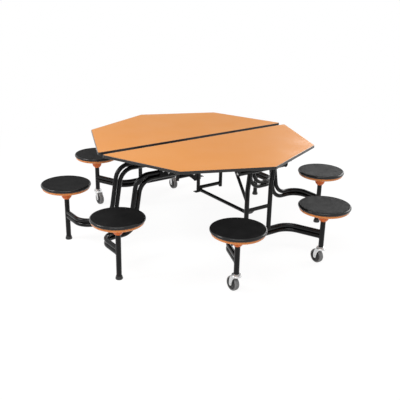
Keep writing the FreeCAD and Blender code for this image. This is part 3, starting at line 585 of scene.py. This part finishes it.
def stools_and_casters(half):
    """The seats, forks and wheels of one half, and what its two caster stools share."""
    body = "caster_frame_" + half
    for side, glide_place, caster_place in zip(SIDES, GLIDE_PLACES[half], CASTER_PLACES[half]):
        corner = "%s_%s" % (half, side)
        axle = Vector(PIVOTS["spin_" + corner])
        build_piece("seat_glide_" + corner, [(seat_shape, *glide_place)], [SEAT_PEBBLE, SEAT_RIM],
                    "centre_frame", [corner + "_glide_seat"], angle=50)
        build_piece("seat_caster_" + corner, [(seat_shape, *caster_place)], [SEAT_PEBBLE, SEAT_RIM],
                    body, [corner + "_caster_seat"], angle=50)
        build_piece("fork_shell_" + corner, [(fork_shape, *caster_place, axle)], [ZINC],
                    "fork_" + corner, [corner + "_caster_fork"])
        build_piece("wheel_shell_" + corner, [(wheel_shape, axle)], [TREAD, WHEEL_WEB_PAINTED_SHADE],
                    "wheel_" + corner, [corner + "_caster_wheel"])
    places = CASTER_PLACES[half]
    build_piece("pans_caster_" + half, [(pan_shape, *place) for place in places], [PAN, HUB_PAINTED_SHADE],
                body, [half + "_caster_stool_pans"], angle=50)
    build_piece("posts_caster_" + half, [(post_shape, *place, CASTER_POST_END) for place in places],
                [BLACK], body, [half + "_caster_stool_posts"])
    build_piece("races_caster_" + half, [(race_shape, *place) for place in places], [ZINC], body)


def glide_stools():
    """The pans, posts and glides of the four glide stools."""
    build_piece("pans_glide", [(pan_shape, *place) for place in ALL_GLIDES], [PAN, HUB_PAINTED_SHADE],
                "centre_frame", ["glide_stool_pans"], angle=50)
    build_piece("posts_glide", [(post_shape, *place, GLIDE_SOCKET) for place in ALL_GLIDES], [BLACK],
                "centre_frame", ["glide_stool_posts"])
    build_piece("glides", [(glide_shape, *place) for place in ALL_GLIDES], [NYLON],
                "centre_frame", ["glide_feet"], angle=50)


# Welds and bolts
def arm_welds(build, place, way, heights):
    """The welds of two arm tubes, one over the other, on a stool post."""
    post = Vector((*place, 0))
    for height in heights:
        start = post + UP * height - way * ARM_LEAD
        weld_bead(build, (post, UP, POST_RADIUS), (start, way, TUBE_RADIUS), WELD)


def caster_frame_welds(build, half):
    """The welds of a caster frame: arms on posts, uprights on the rail, crossbar on the uprights."""
    sign = HALVES[half]
    rail = Vector((0, sign * CASTER_RAIL_Y, RAIL_HEIGHTS[0]))
    bar = Vector((0, sign * CASTER_RAIL_Y, CROSSBAR_HEIGHT))
    for place in CASTER_PLACES[half]:
        side = math.copysign(1, place[0])
        arm_way = Vector((side * math.sin(ARM_SPLAY), sign * math.cos(ARM_SPLAY), 0))
        arm_welds(build, place, arm_way, RAIL_HEIGHTS)
        upright = Vector((side * UPRIGHT_X, sign * CASTER_RAIL_Y, 0))
        upright_tube = (upright + UP * UPRIGHT_LEVEL, DOWN, TUBE_RADIUS - WELD_SINK)
        weld_bead(build, (rail, RIGHT, TUBE_RADIUS), upright_tube, WELD)
        weld_bead(build, (upright, UP, TUBE_RADIUS), (bar, RIGHT * side, BAR_RADIUS), FINE_WELD)


def centre_frame_welds(build):
    """The welds of the centre frame: arms on posts, hangers and ties on the beams, hanger crossbars."""
    for x, y in ALL_GLIDES:
        side, sign = math.copysign(1, x), math.copysign(1, y)
        outward = Vector((0, sign, 0))
        arm_welds(build, (x, y), outward, ARM_HEIGHTS)
        beam = Vector((0, sign * BEAM_Y, BEAM_HEIGHT))
        bar = Vector((0, sign * BEAM_Y, CROSSBAR_HEIGHT))
        hanger = Vector((side * UPRIGHT_X, sign * BEAM_Y, 0))
        tie = Vector((side * TIE_X, 0, BEAM_HEIGHT))
        hanger_tube = (hanger + UP * HANGER_LEVEL, UP, BAR_RADIUS)
        weld_bead(build, (beam, RIGHT, TUBE_RADIUS), hanger_tube, FINE_WELD)
        weld_bead(build, (hanger, UP, BAR_RADIUS), (bar, RIGHT * side, BAR_RADIUS - WELD_SINK), FINE_WELD)
        weld_bead(build, (beam, RIGHT, TUBE_RADIUS), (tie, outward, BAR_RADIUS), FINE_WELD)


def frame_bolts(build):
    """Hexagon bolts with washers on the hinge feet and gussets, front and back."""
    for sign in HALVES.values():
        way = Vector((0, sign, 0))
        for lug in LUG_X:
            for shift, height in LUG_BOLTS:
                place = Vector((-sign * (lug + shift), sign * LUG_FACE_Y, height))
                hex_head(build, place, way, BOLT_RADIUS, BOLT_HEIGHT)
        place = Vector((sign * GUSSET_BOLT_X, sign * GUSSET_FACE_Y, GUSSET_BOLT_HEIGHT))
        hex_head(build, place, way, BOLT_RADIUS, BOLT_HEIGHT)


def welds_and_bolts():
    """All weld beads, and the bolt heads of the centre frame."""
    for half in HALVES:
        build_piece("welds_caster_" + half, [(caster_frame_welds, half)], [ROUGH_BLACK],
                    "caster_frame_" + half, angle=60)
    build_piece("welds_centre", [(centre_frame_welds,)], [ROUGH_BLACK], "centre_frame", angle=60)
    build_piece("frame_bolt_heads", [(frame_bolts,)], [FASTENER],
                "centre_frame", ["frame_bolts"], angle=20)


# Solids that stay as they are
FINISHES = {"laminate": LAMINATE, "edging": EDGING, "frame": BLACK, "fastener": FASTENER,
            "spring_rod": CHROME, "zinc": ZINC, "seat": SEAT_RIM, "pan": PAN, "wheel": TREAD,
            "glide": NYLON}


def finish_solids():
    """Gives each solid of the frame the finish of its slot in the record."""
    slots = {part["node"]: part["material_slot"] for part in frame["record"]["subparts"]}
    for name, solid in frame["nodes"].items():
        finish = FINISHES[slots[name]]
        if not solid.material_slots:
            solid.data.materials.append(finish)
        for holder in solid.material_slots:
            holder.material = finish


# Floor, studio and camera, whose angles are degrees
FLOOR_REACH = 14.0
FLOOR_GLOW, FLOOR_SHADOW_TONE = 0.90, 0.15
FADE_START, FADE_END = 1.5, 3.6
SKY_LEVEL = 0.34
TABLE_MIDDLE, FRONT_SEATS = (0, 0, 0.4), (0.4, -0.4, 0.45)
CAMERA_PLACE, CAMERA_ANGLES = (-2.72542, -3.77698, 1.99528), (69.445, -1.177, -35.533)
CAMERA_LENS, SENSOR_WIDTH, CAMERA_REACH = 58.32, 36.0, 60.0


def seen_rays(tree):
    """One for what the camera, gloss and glass see, and zero for light that bounces."""
    rays = tree.nodes.new("ShaderNodeLightPath")
    result = rays.outputs["Is Camera Ray"]
    for kind in ("Is Glossy Ray", "Is Transmission Ray"):
        either = tree.nodes.new("ShaderNodeMath")
        either.operation = "MAXIMUM"
        tree.links.new(result, either.inputs[0])
        tree.links.new(rays.outputs[kind], either.inputs[1])
        result = either.outputs["Value"]
    return result


def mix_shaders(tree, factor, first, second):
    """The first shader where the factor is zero, and the second where it is one."""
    mixer = tree.nodes.new("ShaderNodeMixShader")
    tree.links.new(factor, mixer.inputs["Fac"])
    tree.links.new(first, mixer.inputs[1])
    tree.links.new(second, mixer.inputs[2])
    return mixer.outputs["Shader"]


def far_away(tree):
    """Zero near the object and one far away on the floor."""
    place = tree.nodes.new("ShaderNodeTexCoord")
    reach = tree.nodes.new("ShaderNodeVectorMath")
    reach.operation = "LENGTH"
    fade = tree.nodes.new("ShaderNodeMapRange")
    fade.inputs["From Min"].default_value = FADE_START
    fade.inputs["From Max"].default_value = FADE_END
    tree.links.new(place.outputs["Object"], reach.inputs[0])
    tree.links.new(reach.outputs["Value"], fade.inputs["Value"])
    return fade.outputs["Result"]


def white_floor():
    """A white floor that keeps the soft shadow of the object and is plain white far away."""
    material, tree, plain = new_material("floor_white")
    plain.inputs["Base Color"].default_value = (0.80, 0.80, 0.80, 1)
    plain.inputs["Roughness"].default_value = 0.9
    plain.inputs["Specular IOR Level"].default_value = 0.0
    shadow = tree.nodes.new("ShaderNodeBsdfDiffuse")
    shadow.inputs["Color"].default_value = (FLOOR_SHADOW_TONE, FLOOR_SHADOW_TONE, FLOOR_SHADOW_TONE, 1)
    glow = tree.nodes.new("ShaderNodeEmission")
    glow.inputs["Strength"].default_value = FLOOR_GLOW
    near = tree.nodes.new("ShaderNodeAddShader")
    tree.links.new(shadow.outputs["BSDF"], near.inputs[0])
    tree.links.new(glow.outputs["Emission"], near.inputs[1])
    far = tree.nodes.new("ShaderNodeEmission")
    far.inputs["Strength"].default_value = 1.0
    white = mix_shaders(tree, far_away(tree), near.outputs["Shader"], far.outputs["Emission"])
    surface = mix_shaders(tree, seen_rays(tree), plain.outputs["BSDF"], white)
    tree.links.new(surface, tree.nodes["Material Output"].inputs["Surface"])
    return material


def studio_floor():
    """A square floor, as stage."""
    build = bmesh.new()
    corners = [(-FLOOR_REACH, -FLOOR_REACH, 0), (FLOOR_REACH, -FLOOR_REACH, 0),
               (FLOOR_REACH, FLOOR_REACH, 0), (-FLOOR_REACH, FLOOR_REACH, 0)]
    build.faces.new([build.verts.new(corner) for corner in corners])
    floor = add_object("floor", build, [white_floor()])


def studio_world():
    """A white backdrop that lights the scene softly."""
    world = bpy.data.worlds.new("studio")
    world.use_nodes = True
    tree = world.node_tree
    sky = tree.nodes["Background"]
    sky.inputs["Color"].default_value = (1, 1, 1, 1)
    sky.inputs["Strength"].default_value = SKY_LEVEL
    seen = tree.nodes.new("ShaderNodeBackground")
    seen.inputs["Color"].default_value = (1, 1, 1, 1)
    seen.inputs["Strength"].default_value = 1.0
    surface = mix_shaders(tree, seen_rays(tree), sky.outputs["Background"], seen.outputs["Background"])
    tree.links.new(surface, tree.nodes["World Output"].inputs["Surface"])
    bpy.context.scene.world = world


def area_light(name, place, target, size, power):
    """A soft light panel aimed at a point, with its width and height in metres and power in watts."""
    light = bpy.data.lights.new(name, "AREA")
    light.shape = "RECTANGLE"
    light.size, light.size_y = size
    light.energy = power
    lamp = bpy.data.objects.new(name, light)
    lamp.location = place
    lamp.rotation_euler = (Vector(target) - Vector(place)).to_track_quat("-Z", "Y").to_euler()
    bpy.context.scene.collection.objects.link(lamp)


def photo_camera():
    """The photograph's viewpoint, from the fit of the top's corners, the seats and the feet."""
    data = bpy.data.cameras.new("camera")
    data.sensor_width = SENSOR_WIDTH
    data.lens = CAMERA_LENS
    data.clip_end = CAMERA_REACH
    camera = bpy.data.objects.new("camera", data)
    camera.location = CAMERA_PLACE
    camera.rotation_euler = [math.radians(angle) for angle in CAMERA_ANGLES]
    bpy.context.scene.collection.objects.link(camera)
    bpy.context.scene.camera = camera


# The table, then the studio
for half in HALVES:
    stools_and_casters(half)
glide_stools()
welds_and_bolts()
finish_solids()

studio_floor()
studio_world()
area_light("key_light", place=(-2.6, -3.2, 4.6), target=TABLE_MIDDLE, size=(4.2, 1.0), power=118)
area_light("left_light", place=(-3.6, 1.2, 3.2), target=TABLE_MIDDLE, size=(1.6, 1.6), power=90)
area_light("right_light", place=(4.6, -0.9, 2.5), target=TABLE_MIDDLE, size=(2.4, 2.0), power=75)
area_light("back_light", place=(5.5, 2.9, 2.5), target=FRONT_SEATS, size=(2.6, 2.0), power=91)
photo_camera()
bpy.context.scene.view_settings.view_transform = "Standard"
